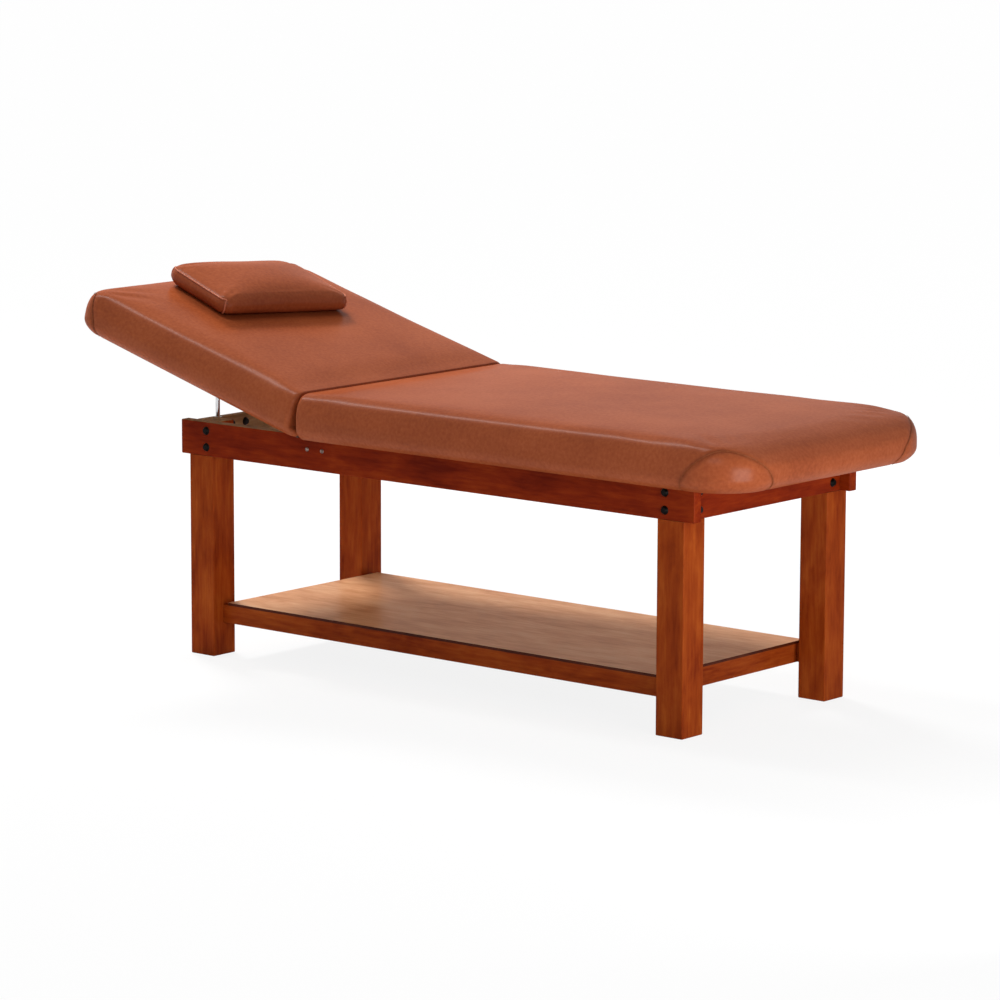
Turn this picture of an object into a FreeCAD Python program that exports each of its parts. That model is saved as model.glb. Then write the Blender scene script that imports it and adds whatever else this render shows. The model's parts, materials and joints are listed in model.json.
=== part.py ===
import FreeCAD, Part
import math
import os
import re

# A massage bed: a timber frame with a shelf, a fixed main pad, a head section that tilts on butt hinges
# and rests on two sliding prop rods, and a loose pillow. The foot is at +X, the head at -X.
# The origin is on the floor, under the middle of the whole bed.

SIZES = {
    # Timber frame
    "leg_side": 70,
    "leg_span_x": 1394,
    "leg_span_y": 568,
    "frame_offset": 48.6,
    "frame_top": 530,
    "rail_height": 77,
    "side_rail_thick": 24,
    "end_rail_thick": 24,
    "rail_overhang": 25.5,
    "edge_round": 2.5,
    # Cross rails under the joint between the pads
    "joint_from_head": 377,
    "cross_rail_thick": 28,
    "cross_rail_height": 62,
    "cross_rail_gap": 16,
    # Shelf
    "shelf_top": 120,
    "shelf_panel_thick": 6,
    "shelf_rail_height": 40,
    "shelf_rail_thick": 22,
    "shelf_setback": 31,
    "shelf_end_inset": 15,
    "dowel_radius": 4,
    "dowel_length": 36,
    "dowel_spread": 20,
    # Bolts, inserts and screws
    "bolt_radius": 3,
    "bolt_length": 42,
    "bolt_head_radius": 9.5,
    "bolt_head_tip_radius": 6,
    "bolt_head_height": 5,
    "bolt_from_leg_inside": 19,
    "bolt_margin": 20,
    "insert_radius": 5,
    "insert_length": 14,
    "cross_screw_radius": 2.5,
    "cross_screw_length": 60,
    "cross_screw_head_radius": 5,
    "cross_screw_head_tip_radius": 3.5,
    "cross_screw_head_height": 2.4,
    "board_screw_radius": 2,
    "board_screw_length": 32,
    "board_screw_head_radius": 4,
    "board_screw_head_height": 3,
    "board_screw_end_inset": 90,
    "rail_screw_length": 18,
    "rail_screw_from_top": 18,
    "rail_screw_from_end": 88,
    "rail_screw_spacing": 45,
    "hole_clearance": 0.2,
    "overrun": 5,
    # Boards and pads
    "board_thick": 12,
    "board_gap": 12,
    "board_tuck": 32,
    "pad_side_overhang": 82,
    "pad_foot_overhang": 185,
    "pad_head_overhang": 323,
    "pad_height": 90,
    "pad_crown": 6,
    "pad_seat_gap": 0.3,
    "pad_bulge_height": 32,
    "pad_bottom_tuck": 26,
    "pad_edge_radius": 52,
    "joint_edge_radius": 18,
    "joint_bottom_tuck": 4,
    "joint_corner": 24,
    "foot_corner": 125,
    "head_corner": 64,
    "main_joint_setback": 11,
    "head_joint_setback": 17,
    "crown_rim": 130,
    "head_tilt": 16.2,
    # Pillow
    "pillow_depth": 236,
    "pillow_width": 350,
    "pillow_height": 48,
    "pillow_from_axis": 383,
    "pillow_sideways": 12,
    "pillow_bulge_height": 18,
    "pillow_bottom_tuck": 10,
    "pillow_edge_radius": 18,
    "pillow_corner": 40,
    "pillow_crown": 10,
    "pillow_crown_rim": 45,
    "pillow_skew": 10,
    # Butt hinges
    "hinge_length": 76,
    "hinge_end_margin": 42,
    "leaf_thick": 2,
    "leaf_width": 27,
    "knuckle_radius": 4.5,
    "knuckle_length": 36,
    "knuckle_end_gap": 0.4,
    "hinge_pin_radius": 2.5,
    "hinge_pin_clearance": 0.05,
    "hinge_side_gap": 0.8,
    "hinge_screw_radius": 1.75,
    "hinge_screw_length": 9,
    "hinge_screw_head_radius": 3.2,
    "hinge_screw_head_height": 1.5,
    "hinge_screw_spread": 24,
    # Prop rods, bushes and lock knobs
    "rod_radius": 5,
    "rod_running_clearance": 0.05,
    "rod_top_gap": 0.3,
    "rod_hold": 70,
    "rod_from_leg": 9,
    "bush_radius": 7.5,
    "bush_flange_radius": 10,
    "bush_flange_thick": 3,
    "bush_flange_sink": 0.5,
    "wear_plate_width": 40,
    "wear_plate_length": 60,
    "wear_plate_thick": 3,
    "knob_radius": 17,
    "knob_thick": 14,
    "knob_collar_radius": 8,
    "knob_collar_length": 6,
    "knob_scallop_radius": 6,
    "knob_stud_radius": 3,
    "knob_face_gap": 0.3,
}
KNOB_SCALLOPS = 6
HINGE_PLACES = (-1, 0, 1)
SCREW_PLACES = (-1, 0, 1)
SIDES = {"near": -1, "far": 1}
ENDS = {"head": -1, "foot": 1}
BOARD_SCREW_SHARES = (0, 0.34, 0.67, 1)
ARC_SHARES = (0, 0.35, 0.7, 1)
CROWN_SHARES = (0.45, 1)
CORNER_SHARE = 0.4

doc = FreeCAD.newDocument("massage_bed")
sheet = doc.addObject("Spreadsheet::Sheet", "sizes")
for row, (word, value) in enumerate(SIZES.items(), start=1):
    sheet.set(f"A{row}", word)
    sheet.set(f"B{row}", str(value))
    sheet.setAlias(f"B{row}", word)
doc.recompute()

nodes = []


def number(text):
    """The value of a formula in the sheet's words."""
    return float(sheet.evalExpression(formula(text)))


def formula(text):
    """The formula with the sheet's name before each of its words."""
    return re.sub(r"[a-z][a-z_]+", lambda match: "sizes." + match.group(0), str(text))


def bind(item, **formulas):
    for name, text in formulas.items():
        item.setExpression(name.replace("__", "."), formula(text))
    return item


def place(item, x, y, z):
    return bind(item, Placement__Base__x=x, Placement__Base__y=y, Placement__Base__z=z)


def box(name, size, corner):
    item = doc.addObject("Part::Box", name)
    bind(item, Length=size[0], Width=size[1], Height=size[2])
    return place(item, *corner)


AXES = {
    "+x": FreeCAD.Vector(1, 0, 0),
    "-x": FreeCAD.Vector(-1, 0, 0),
    "+y": FreeCAD.Vector(0, 1, 0),
    "-y": FreeCAD.Vector(0, -1, 0),
    "+z": FreeCAD.Vector(0, 0, 1),
    "-z": FreeCAD.Vector(0, 0, -1),
}


def point_along(item, axis):
    item.Placement.Rotation = FreeCAD.Rotation(AXES["+z"], AXES[axis])
    return item


def cylinder(name, radius, length, base, axis):
    item = doc.addObject("Part::Cylinder", name)
    bind(item, Radius=radius, Height=length)
    return place(point_along(item, axis), *base)


def cone(name, radius, tip_radius, length, base, axis):
    item = doc.addObject("Part::Cone", name)
    bind(item, Radius1=radius, Radius2=tip_radius, Height=length)
    return place(point_along(item, axis), *base)


def group(name, items):
    item = doc.addObject("Part::Compound", name)
    item.Links = items
    return item


def fuse(name, items):
    item = doc.addObject("Part::MultiFuse", name)
    item.Shapes = items
    return item


def cut(name, base, tools):
    item = doc.addObject("Part::Cut", name)
    item.Base = base
    item.Tool = tools[0] if len(tools) == 1 else group(name + "_tools", tools)
    return item


def fillet(name, base, radius, chosen):
    """Rounds those of the base's edges that the chosen test picks."""
    doc.recompute()
    size = number(radius)
    item = doc.addObject("Part::Fillet", name)
    item.Base = base
    item.Edges = [(index, size, size) for index, edge in enumerate(base.Shape.Edges, start=1) if chosen(edge)]
    return item


def rounded(name, base):
    """A planed bar with all its edges eased."""
    return fillet(name, base, "edge_round", lambda edge: True)


def with_free_corners(name, base, radius, end_sign):
    """A board whose two upright corners at its head or foot end are rounded."""

    def at_free_end(edge):
        upright = edge.BoundBox.ZLength > max(edge.BoundBox.XLength, edge.BoundBox.YLength)
        return upright and end_sign * (edge.CenterOfMass.x - base.Shape.CenterOfMass.x) > 0

    return fillet(name, base, radius, at_free_end)


def node(label, item):
    item.Label = label
    nodes.append(item)
    return item


def shifted(base, axis, distance):
    """The point that lies the distance from the base along the axis, as formulas."""
    step = AXES[axis]
    return tuple(f"{start} + {move} * ({distance})" for start, move in zip(base, (step.x, step.y, step.z)))


# Places that several pieces share, as formulas of the sheet's words
HEAD_FACE = "(frame_offset - leg_span_x / 2)"
FOOT_FACE = "(frame_offset + leg_span_x / 2)"
SIDE_FACE = "(leg_span_y / 2)"
RAIL_LOW = "(frame_top - rail_height)"
JOINT_X = f"({HEAD_FACE} + joint_from_head)"
AXIS_Z = "(frame_top - knuckle_radius)"
INNER_WIDTH = "(leg_span_y - 2 * side_rail_thick)"
ROD_X = f"({HEAD_FACE} + end_rail_thick / 2)"
ROD_Y = f"({SIDE_FACE} - leg_side - rod_from_leg)"
PAD_WIDTH = "(leg_span_y + 2 * pad_side_overhang)"
BOARD_WIDTH = f"({PAD_WIDTH} - 2 * board_tuck)"
PAD_FOOT = f"({FOOT_FACE} + pad_foot_overhang)"
PAD_HEAD = f"({HEAD_FACE} - pad_head_overhang)"
HINGE_SPREAD = f"({INNER_WIDTH} / 2 - hinge_end_margin - hinge_length / 2)"
SHELF_RAIL_LOW = "(shelf_top - shelf_panel_thick - shelf_rail_height)"
SHELF_RAIL_Y = f"({SIDE_FACE} - shelf_setback)"
SHELF_LONG = "(leg_span_x - 2 * leg_side)"
SHELF_CROSS = "(leg_span_y - 2 * shelf_setback - 2 * shelf_rail_thick)"
KNOB_Z = "(frame_top - rail_height / 2)"

# Bolts through the rails into threaded inserts in the legs
bolts = []
inserts = []
bolt_holes = []
insert_holes = []


def bolt(name, base, axis):
    """One bolt: the domed head lies on the rail's face, and the shank runs into the leg's insert."""
    outward = {"+x": "-x", "-x": "+x", "+y": "-y", "-y": "+y"}[axis]
    shank = cylinder(name + "_shank", "bolt_radius", "bolt_length", base, axis)
    head = cone(name + "_head", "bolt_head_radius", "bolt_head_tip_radius", "bolt_head_height", base, outward)
    bolts.append(fuse(name, [shank, head]))
    bolt_holes.append(cylinder(name + "_hole", "bolt_radius + hole_clearance", "bolt_length + hole_clearance",
                               base, axis))
    start = shifted(base, axis, "bolt_length - insert_length")
    sleeve = cylinder(name + "_sleeve", "insert_radius", "insert_length", start, axis)
    thread = cylinder(name + "_thread", "bolt_radius + hole_clearance", "insert_length", start, axis)
    inserts.append(cut(name + "_insert", sleeve, [thread]))
    insert_holes.append(cylinder(name + "_seat", "insert_radius + hole_clearance", "insert_length",
                                 start, axis))


BOLT_HEIGHTS = {"upper": "(frame_top - bolt_margin)", "lower": f"({RAIL_LOW} + bolt_margin)"}
for end, end_sign in ENDS.items():
    face = {"head": HEAD_FACE, "foot": FOOT_FACE}[end]
    for side, side_sign in SIDES.items():
        along_x = f"({face} - ({end_sign}) * (leg_side - bolt_from_leg_inside))"
        along_y = f"(({side_sign}) * ({SIDE_FACE} - leg_side + bolt_from_leg_inside))"
        for level, height in BOLT_HEIGHTS.items():
            bolt(f"side_bolt_{end}_{side}_{level}", (along_x, f"({side_sign}) * {SIDE_FACE}", height),
                 "+y" if side_sign < 0 else "-y")
            bolt(f"end_bolt_{end}_{side}_{level}", (face, along_y, height), "+x" if end_sign < 0 else "-x")
node("frame_bolts", group("frame_bolts", bolts))
node("leg_inserts", group("leg_inserts", inserts))
all_bolt_holes = group("bolt_holes", bolt_holes)
all_insert_holes = group("insert_holes", insert_holes)

# Wooden dowels of the shelf frame
dowels = []
dowel_holes = []


def dowel_pair(name, centre, axis, back):
    """Two upright-stacked dowels across a butt joint, half in each piece."""
    for level, sign in {"upper": 1, "lower": -1}.items():
        middle = (centre[0], centre[1], f"{centre[2]} + ({sign}) * dowel_spread / 2")
        start = shifted(middle, back, "dowel_length / 2")
        dowels.append(cylinder(f"{name}_{level}", "dowel_radius", "dowel_length", start, axis))
        hole_start = shifted(middle, back, "dowel_length / 2 + hole_clearance")
        dowel_holes.append(cylinder(f"{name}_{level}_hole", "dowel_radius + hole_clearance",
                                    "dowel_length + 2 * hole_clearance", hole_start, axis))


SHELF_MIDDLE = f"({SHELF_RAIL_LOW} + shelf_rail_height / 2)"
SHELF_CROSS_PLACES = {
    "shelf_end_rail_head": f"({HEAD_FACE} + leg_side + shelf_end_inset)",
    "shelf_bearer": "(frame_offset - shelf_rail_thick / 2)",
    "shelf_end_rail_foot": f"({FOOT_FACE} - leg_side - shelf_end_inset - shelf_rail_thick)",
}
for side, side_sign in SIDES.items():
    rail_y = f"(({side_sign}) * ({SHELF_RAIL_Y} - shelf_rail_thick / 2))"
    dowel_pair(f"dowel_head_{side}", (f"({HEAD_FACE} + leg_side)", rail_y, SHELF_MIDDLE), "+x", "-x")
    dowel_pair(f"dowel_foot_{side}", (f"({FOOT_FACE} - leg_side)", rail_y, SHELF_MIDDLE), "+x", "-x")
    for label, start in SHELF_CROSS_PLACES.items():
        inward = f"(({side_sign}) * ({SHELF_RAIL_Y} - shelf_rail_thick / 2 - dowel_length / 2))"
        dowel_pair(f"dowel_{label}_{side}", (f"({start} + shelf_rail_thick / 2)", inward, SHELF_MIDDLE),
                   "+y", "-y")
node("shelf_dowels", group("shelf_dowels", dowels))
all_dowel_holes = group("dowel_holes", dowel_holes)

# Legs, notched at the top for the rails
for end, end_sign in ENDS.items():
    leg_x = {"head": HEAD_FACE, "foot": f"({FOOT_FACE} - leg_side)"}[end]
    rail_x = {"head": f"({HEAD_FACE} - overrun)", "foot": f"({FOOT_FACE} - end_rail_thick)"}[end]
    for side, side_sign in SIDES.items():
        name = f"leg_{end}_{side}"
        leg_y = {"near": f"-{SIDE_FACE}", "far": f"({SIDE_FACE} - leg_side)"}[side]
        rail_y = {"near": f"(-{SIDE_FACE} - overrun)", "far": f"({SIDE_FACE} - side_rail_thick)"}[side]
        blank = box(name + "_blank", ("leg_side", "leg_side", "frame_top"), (leg_x, leg_y, 0))
        post = rounded(name + "_post", blank)
        side_notch = box(name + "_side_notch",
                         ("leg_side + 2 * overrun", "side_rail_thick + overrun", "rail_height + overrun"),
                         (f"{leg_x} - overrun", rail_y, RAIL_LOW))
        end_notch = box(name + "_end_notch",
                        ("end_rail_thick + overrun", "leg_side + 2 * overrun", "rail_height + overrun"),
                        (rail_x, f"{leg_y} - overrun", RAIL_LOW))
        notched = cut(name + "_notched", post, [fuse(name + "_notches", [side_notch, end_notch])])
        drilled = cut(name + "_drilled", notched, [all_bolt_holes])
        seated = cut(name + "_seated", drilled, [all_insert_holes])
        node(name, cut(name, seated, [all_dowel_holes]))

# Screws through the side rails into the cross rails
cross_screws = []
cross_screw_holes = []
CROSS_RAILS = {
    "hinge_cross_rail": f"({JOINT_X} - cross_rail_gap / 2 - cross_rail_thick)",
    "main_cross_rail": f"({JOINT_X} + cross_rail_gap / 2)",
}
CROSS_RAIL_LOW = "(frame_top - cross_rail_height)"
for label, start in CROSS_RAILS.items():
    for side, side_sign in SIDES.items():
        axis = "+y" if side_sign < 0 else "-y"
        outward = "-y" if side_sign < 0 else "+y"
        base = (f"({start} + cross_rail_thick / 2)", f"({side_sign}) * {SIDE_FACE}",
                f"({CROSS_RAIL_LOW} + cross_rail_height / 2)")
        name = f"{label}_screw_{side}"
        shank = cylinder(name + "_shank", "cross_screw_radius", "cross_screw_length", base, axis)
        head = cone(name + "_head", "cross_screw_head_radius", "cross_screw_head_tip_radius",
                    "cross_screw_head_height", base, outward)
        cross_screws.append(fuse(name, [shank, head]))
        cross_screw_holes.append(cylinder(name + "_hole", "cross_screw_radius + hole_clearance",
                                          "cross_screw_length + hole_clearance", base, axis))
node("cross_rail_screws", group("cross_rail_screws", cross_screws))
all_cross_screw_holes = group("cross_screw_holes", cross_screw_holes)

# Screws through the main board into the side rails
board_screws = []
board_screw_holes = []
MAIN_START = f"({JOINT_X} + board_gap / 2)"
MAIN_END = f"({PAD_FOOT} - board_tuck)"
SCREW_START = f"({JOINT_X} + board_screw_end_inset)"
SCREW_END = f"({FOOT_FACE} - board_screw_end_inset)"
for side, side_sign in SIDES.items():
    for index, share in enumerate(BOARD_SCREW_SHARES):
        base = (f"({SCREW_START} + {share} * ({SCREW_END} - {SCREW_START}))",
                f"({side_sign}) * ({SIDE_FACE} - side_rail_thick / 2)", "(frame_top + board_thick)")
        name = f"board_screw_{side}_{index}"
        shank = cylinder(name + "_shank", "board_screw_radius", "board_screw_length", base, "-z")
        head = cylinder(name + "_head", "board_screw_head_radius", "board_screw_head_height", base, "-z")
        board_screws.append(fuse(name, [shank, head]))
        shank_hole = cylinder(name + "_shank_hole", "board_screw_radius + hole_clearance",
                              "board_screw_length + hole_clearance", base, "-z")
        head_hole = cylinder(name + "_head_hole", "board_screw_head_radius + hole_clearance",
                             "board_screw_head_height", base, "-z")
        board_screw_holes.append(fuse(name + "_hole", [shank_hole, head_hole]))
node("board_screws", group("board_screws", board_screws))
all_board_screw_holes = group("board_screw_holes", board_screw_holes)

# Side rails and end rails
for side, side_sign in SIDES.items():
    name = f"side_rail_{side}"
    rail_y = {"near": f"-{SIDE_FACE}", "far": f"({SIDE_FACE} - side_rail_thick)"}[side]
    bar = rounded(name + "_bar", box(name + "_blank", ("leg_span_x + 2 * rail_overhang", "side_rail_thick",
                                                       "rail_height"),
                                     (f"{HEAD_FACE} - rail_overhang", rail_y, RAIL_LOW)))
    bolted = cut(name + "_bolted", bar, [all_bolt_holes])
    screwed = cut(name + "_screwed", bolted, [all_cross_screw_holes])
    node(name, cut(name, screwed, [all_board_screw_holes]))

# Prop rods, their bushes in the head end rail, and the lock knobs
bushes = []
bush_seats = []
stud_holes = []
for side, side_sign in SIDES.items():
    rod_y = f"(({side_sign}) * {ROD_Y})"
    flange_top = "(frame_top - bush_flange_sink)"
    sleeve = cylinder(f"bush_{side}_sleeve", "bush_radius", "rail_height - bush_flange_sink",
                      (ROD_X, rod_y, RAIL_LOW), "+z")
    flange = cylinder(f"bush_{side}_flange", "bush_flange_radius", "bush_flange_thick",
                      (ROD_X, rod_y, flange_top), "-z")
    bore = cylinder(f"bush_{side}_bore", "rod_radius + rod_running_clearance", "rail_height + 2 * overrun",
                    (ROD_X, rod_y, f"{RAIL_LOW} - overrun"), "+z")
    stud_hole = cylinder(f"stud_hole_{side}", "knob_stud_radius + hole_clearance", "end_rail_thick / 2 + overrun",
                         (f"{HEAD_FACE} - overrun", rod_y, KNOB_Z), "+x")
    stud_holes.append(stud_hole)
    bushes.append(cut(f"bush_{side}", fuse(f"bush_{side}_body", [sleeve, flange]), [fuse(f"bush_{side}_cuts",
                                                                                     [bore, stud_hole])]))
    seat = cylinder(f"bush_{side}_seat", "bush_radius + hole_clearance", "rail_height + 2 * overrun",
                    (ROD_X, rod_y, f"{RAIL_LOW} - overrun"), "+z")
    rebate = cylinder(f"bush_{side}_rebate", "bush_flange_radius + hole_clearance",
                      "bush_flange_thick + bush_flange_sink + overrun",
                      (ROD_X, rod_y, f"{flange_top} - bush_flange_thick"), "+z")
    bush_seats.append(fuse(f"bush_{side}_room", [seat, rebate]))
node("rod_bushes", group("rod_bushes", bushes))

# Black screws, in pairs, on the inner face of the head end rail
rail_screws = []
rail_screw_holes = []
for side, side_sign in SIDES.items():
    for index in range(2):
        inward = f"(rail_screw_from_end + {index} * rail_screw_spacing)"
        base = (f"({HEAD_FACE} + end_rail_thick)", f"({side_sign}) * ({INNER_WIDTH} / 2 - {inward})",
                "(frame_top - rail_screw_from_top)")
        name = f"rail_screw_{side}_{index}"
        shank = cylinder(name + "_shank", "bolt_radius", "rail_screw_length", base, "-x")
        head = cone(name + "_head", "bolt_head_radius", "bolt_head_tip_radius", "bolt_head_height", base, "+x")
        rail_screws.append(fuse(name, [shank, head]))
        rail_screw_holes.append(cylinder(name + "_hole", "bolt_radius + hole_clearance",
                                         "rail_screw_length + hole_clearance", base, "-x"))
node("head_rail_screws", group("head_rail_screws", rail_screws))

for end in ENDS:
    name = f"end_rail_{end}"
    rail_x = {"head": HEAD_FACE, "foot": f"({FOOT_FACE} - end_rail_thick)"}[end]
    bar = rounded(name + "_bar", box(name + "_blank", ("end_rail_thick", INNER_WIDTH, "rail_height"),
                                     (rail_x, f"-{INNER_WIDTH} / 2", RAIL_LOW)))
    if end == "head":
        bar = cut(name + "_bored", bar, [group("bush_seats", bush_seats)])
        bar = cut(name + "_tapped", bar, [group("stud_holes", stud_holes)])
        bar = cut(name + "_screwed", bar, [group("rail_screw_holes", rail_screw_holes)])
    node(name, cut(name, bar, [all_bolt_holes]))

# Butt hinges in the joint between the pads, with leaves let into the cross rails
tilt = number("head_tilt")
hinge_axis = FreeCAD.Vector(number(JOINT_X), 0, number(AXIS_Z))
raise_head = FreeCAD.Placement(FreeCAD.Vector(0, 0, 0), FreeCAD.Rotation(AXES["+y"], tilt), hinge_axis)


def tilted(label, flat):
    """The piece of the head section, turned about the hinge axis from flat to its raised place."""
    item = doc.addObject("Part::Compound", label)
    item.Links = [flat]
    item.Placement = raise_head
    return node(label, item)


LEAF_START = "(knuckle_radius + hinge_side_gap)"
LEAF_LOW = "(frame_top - leaf_thick)"
OUTER_KNUCKLE = "((hinge_length - knuckle_length) / 2 - knuckle_end_gap)"
leaves = {"frame": [], "head": []}
hinge_screws = {"frame": [], "head": []}
hinge_screw_holes = {"frame": [], "head": []}
pins = []
recesses = {"frame": [], "head": []}
for index, spot in enumerate(HINGE_PLACES):
    middle = f"(({spot}) * {HINGE_SPREAD})"
    knuckles = {
        "frame": [(f"{middle} - hinge_length / 2", OUTER_KNUCKLE),
                  (f"{middle} + hinge_length / 2 - {OUTER_KNUCKLE}", OUTER_KNUCKLE)],
        "head": [(f"{middle} - knuckle_length / 2", "knuckle_length")],
    }
    pins.append(cylinder(f"pin_{index}", "hinge_pin_radius", "hinge_length",
                         (JOINT_X, f"{middle} - hinge_length / 2", AXIS_Z), "+y"))
    for leaf, direction in {"frame": 1, "head": -1}.items():
        name = f"hinge_{leaf}_{index}"
        plate_x = f"({JOINT_X} + {LEAF_START})" if direction > 0 else f"({JOINT_X} - {LEAF_START} - leaf_width)"
        pieces = [box(name + "_plate", ("leaf_width", "hinge_length", "leaf_thick"),
                      (plate_x, f"{middle} - hinge_length / 2", LEAF_LOW))]
        for part_index, (start, length) in enumerate(knuckles[leaf]):
            pieces.append(cylinder(f"{name}_knuckle_{part_index}", "knuckle_radius", length,
                                   (JOINT_X, start, AXIS_Z), "+y"))
            tongue_x = JOINT_X if direction > 0 else f"({JOINT_X} - {LEAF_START})"
            pieces.append(box(f"{name}_tongue_{part_index}", (LEAF_START, length, "leaf_thick"),
                              (tongue_x, start, LEAF_LOW)))
        bore = cylinder(name + "_bore", "hinge_pin_radius + hinge_pin_clearance", "hinge_length + 2 * overrun",
                        (JOINT_X, f"{middle} - hinge_length / 2 - overrun", AXIS_Z), "+y")
        holes = []
        for screw_index, screw_spot in enumerate(SCREW_PLACES):
            screw_x = f"({plate_x} + leaf_width / 2)"
            screw_y = f"({middle} + ({screw_spot}) * hinge_screw_spread)"
            top = {"frame": "frame_top", "head": LEAF_LOW}[leaf]
            axis = {"frame": "-z", "head": "+z"}[leaf]
            screw = f"{name}_screw_{screw_index}"
            shank = cylinder(screw + "_shank", "hinge_screw_radius", "hinge_screw_length",
                             (screw_x, screw_y, top), axis)
            head = cylinder(screw + "_head", "hinge_screw_head_radius", "hinge_screw_head_height",
                            (screw_x, screw_y, top), axis)
            hinge_screws[leaf].append(fuse(screw, [shank, head]))
            shank_hole = cylinder(screw + "_shank_hole", "hinge_screw_radius + hole_clearance",
                                  "hinge_screw_length + hole_clearance", (screw_x, screw_y, top), axis)
            head_hole = cylinder(screw + "_head_hole", "hinge_screw_head_radius + hole_clearance",
                                 "hinge_screw_head_height", (screw_x, screw_y, top), axis)
            holes.append(fuse(screw + "_hole", [shank_hole, head_hole]))
        hinge_screw_holes[leaf].extend(holes)
        blank = cut(name + "_bored", fuse(name + "_blank", pieces), [bore])
        leaves[leaf].append(cut(name, blank, holes))
        recesses[leaf].append(box(name + "_recess", ("leaf_width + hole_clearance + overrun",
                                                     "hinge_length + 2 * hole_clearance", "leaf_thick + overrun"),
                                  (f"{plate_x} - overrun" if direction > 0 else f"{plate_x} - hole_clearance",
                                   f"{middle} - hinge_length / 2 - hole_clearance", LEAF_LOW)))
node("hinge_leaves_frame", group("hinge_leaves_frame", leaves["frame"]))
tilted("hinge_leaves_head", group("hinge_leaves_head_flat", leaves["head"]))
node("hinge_pins", group("hinge_pins", pins))
node("hinge_screws_frame", group("hinge_screws_frame", hinge_screws["frame"]))
tilted("hinge_screws_head", group("hinge_screws_head_flat", hinge_screws["head"]))

# Cross rails
for label, start in CROSS_RAILS.items():
    leaf = {"hinge_cross_rail": "head", "main_cross_rail": "frame"}[label]
    bar = box(label + "_bar", ("cross_rail_thick", INNER_WIDTH, "cross_rail_height"),
              (start, f"-{INNER_WIDTH} / 2", CROSS_RAIL_LOW))
    let_in = cut(label + "_let_in", bar, [group(label + "_recesses", recesses[leaf])])
    screwed = cut(label + "_screwed", let_in, [all_cross_screw_holes])
    if leaf == "frame":
        screwed = cut(label + "_piloted", screwed, [group("frame_pilot_holes", hinge_screw_holes[leaf])])
    node(label, screwed)

# Shelf: two long rails, two end rails, a bearer and a thin panel on top
for side in SIDES:
    name = f"shelf_rail_{side}"
    rail_y = {"near": f"-{SHELF_RAIL_Y}", "far": f"({SHELF_RAIL_Y} - shelf_rail_thick)"}[side]
    bar = box(name + "_bar", (SHELF_LONG, "shelf_rail_thick", "shelf_rail_height"),
              (f"{HEAD_FACE} + leg_side", rail_y, SHELF_RAIL_LOW))
    node(name, cut(name, bar, [all_dowel_holes]))
for label, start in SHELF_CROSS_PLACES.items():
    bar = box(label + "_bar", ("shelf_rail_thick", SHELF_CROSS, "shelf_rail_height"),
              (start, f"-{SHELF_CROSS} / 2", SHELF_RAIL_LOW))
    node(label, cut(label, bar, [all_dowel_holes]))
node("shelf_panel", box("shelf_panel", (f"{SHELF_LONG} - 2 * shelf_end_inset", f"2 * {SHELF_RAIL_Y}",
                                        "shelf_panel_thick"),
                        (f"{HEAD_FACE} + leg_side + shelf_end_inset", f"-{SHELF_RAIL_Y}",
                         "shelf_top - shelf_panel_thick")))

# Boards under the pads
main_blank = box("main_board_blank", (f"{MAIN_END} - {MAIN_START}", BOARD_WIDTH, "board_thick"),
                 (MAIN_START, f"-{BOARD_WIDTH} / 2", "frame_top"))
main_shaped = with_free_corners("main_board_shaped", main_blank, "foot_corner - board_tuck", ENDS["foot"])
node("main_board", cut("main_board", main_shaped, [all_board_screw_holes]))

HEAD_START = f"({PAD_HEAD} + board_tuck)"
HEAD_END = f"({JOINT_X} - board_gap / 2)"
head_blank = box("head_board_blank", (f"{HEAD_END} - {HEAD_START}", BOARD_WIDTH, "board_thick"),
                 (HEAD_START, f"-{BOARD_WIDTH} / 2", "frame_top"))
plates = []
plate_rooms = []
for side, side_sign in SIDES.items():
    corner_y = f"(({side_sign}) * {ROD_Y} - wear_plate_width / 2)"
    plates.append(box(f"wear_plate_{side}", ("wear_plate_length", "wear_plate_width", "wear_plate_thick"),
                      (f"{ROD_X} - wear_plate_length / 2", corner_y, "frame_top")))
    plate_rooms.append(box(f"wear_plate_room_{side}",
                           ("wear_plate_length + 2 * hole_clearance", "wear_plate_width + 2 * hole_clearance",
                            "wear_plate_thick + overrun"),
                           (f"{ROD_X} - wear_plate_length / 2 - hole_clearance", f"{corner_y} - hole_clearance",
                            "frame_top - overrun")))
head_shaped = with_free_corners("head_board_shaped", head_blank, "head_corner - board_tuck", ENDS["head"])
head_housed = cut("head_board_housed", head_shaped, [group("wear_plate_rooms", plate_rooms)])
tilted("head_board", cut("head_board_flat", head_housed, [group("head_pilot_holes", hinge_screw_holes["head"])]))
tilted("wear_plates", group("wear_plates_flat", plates))


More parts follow.
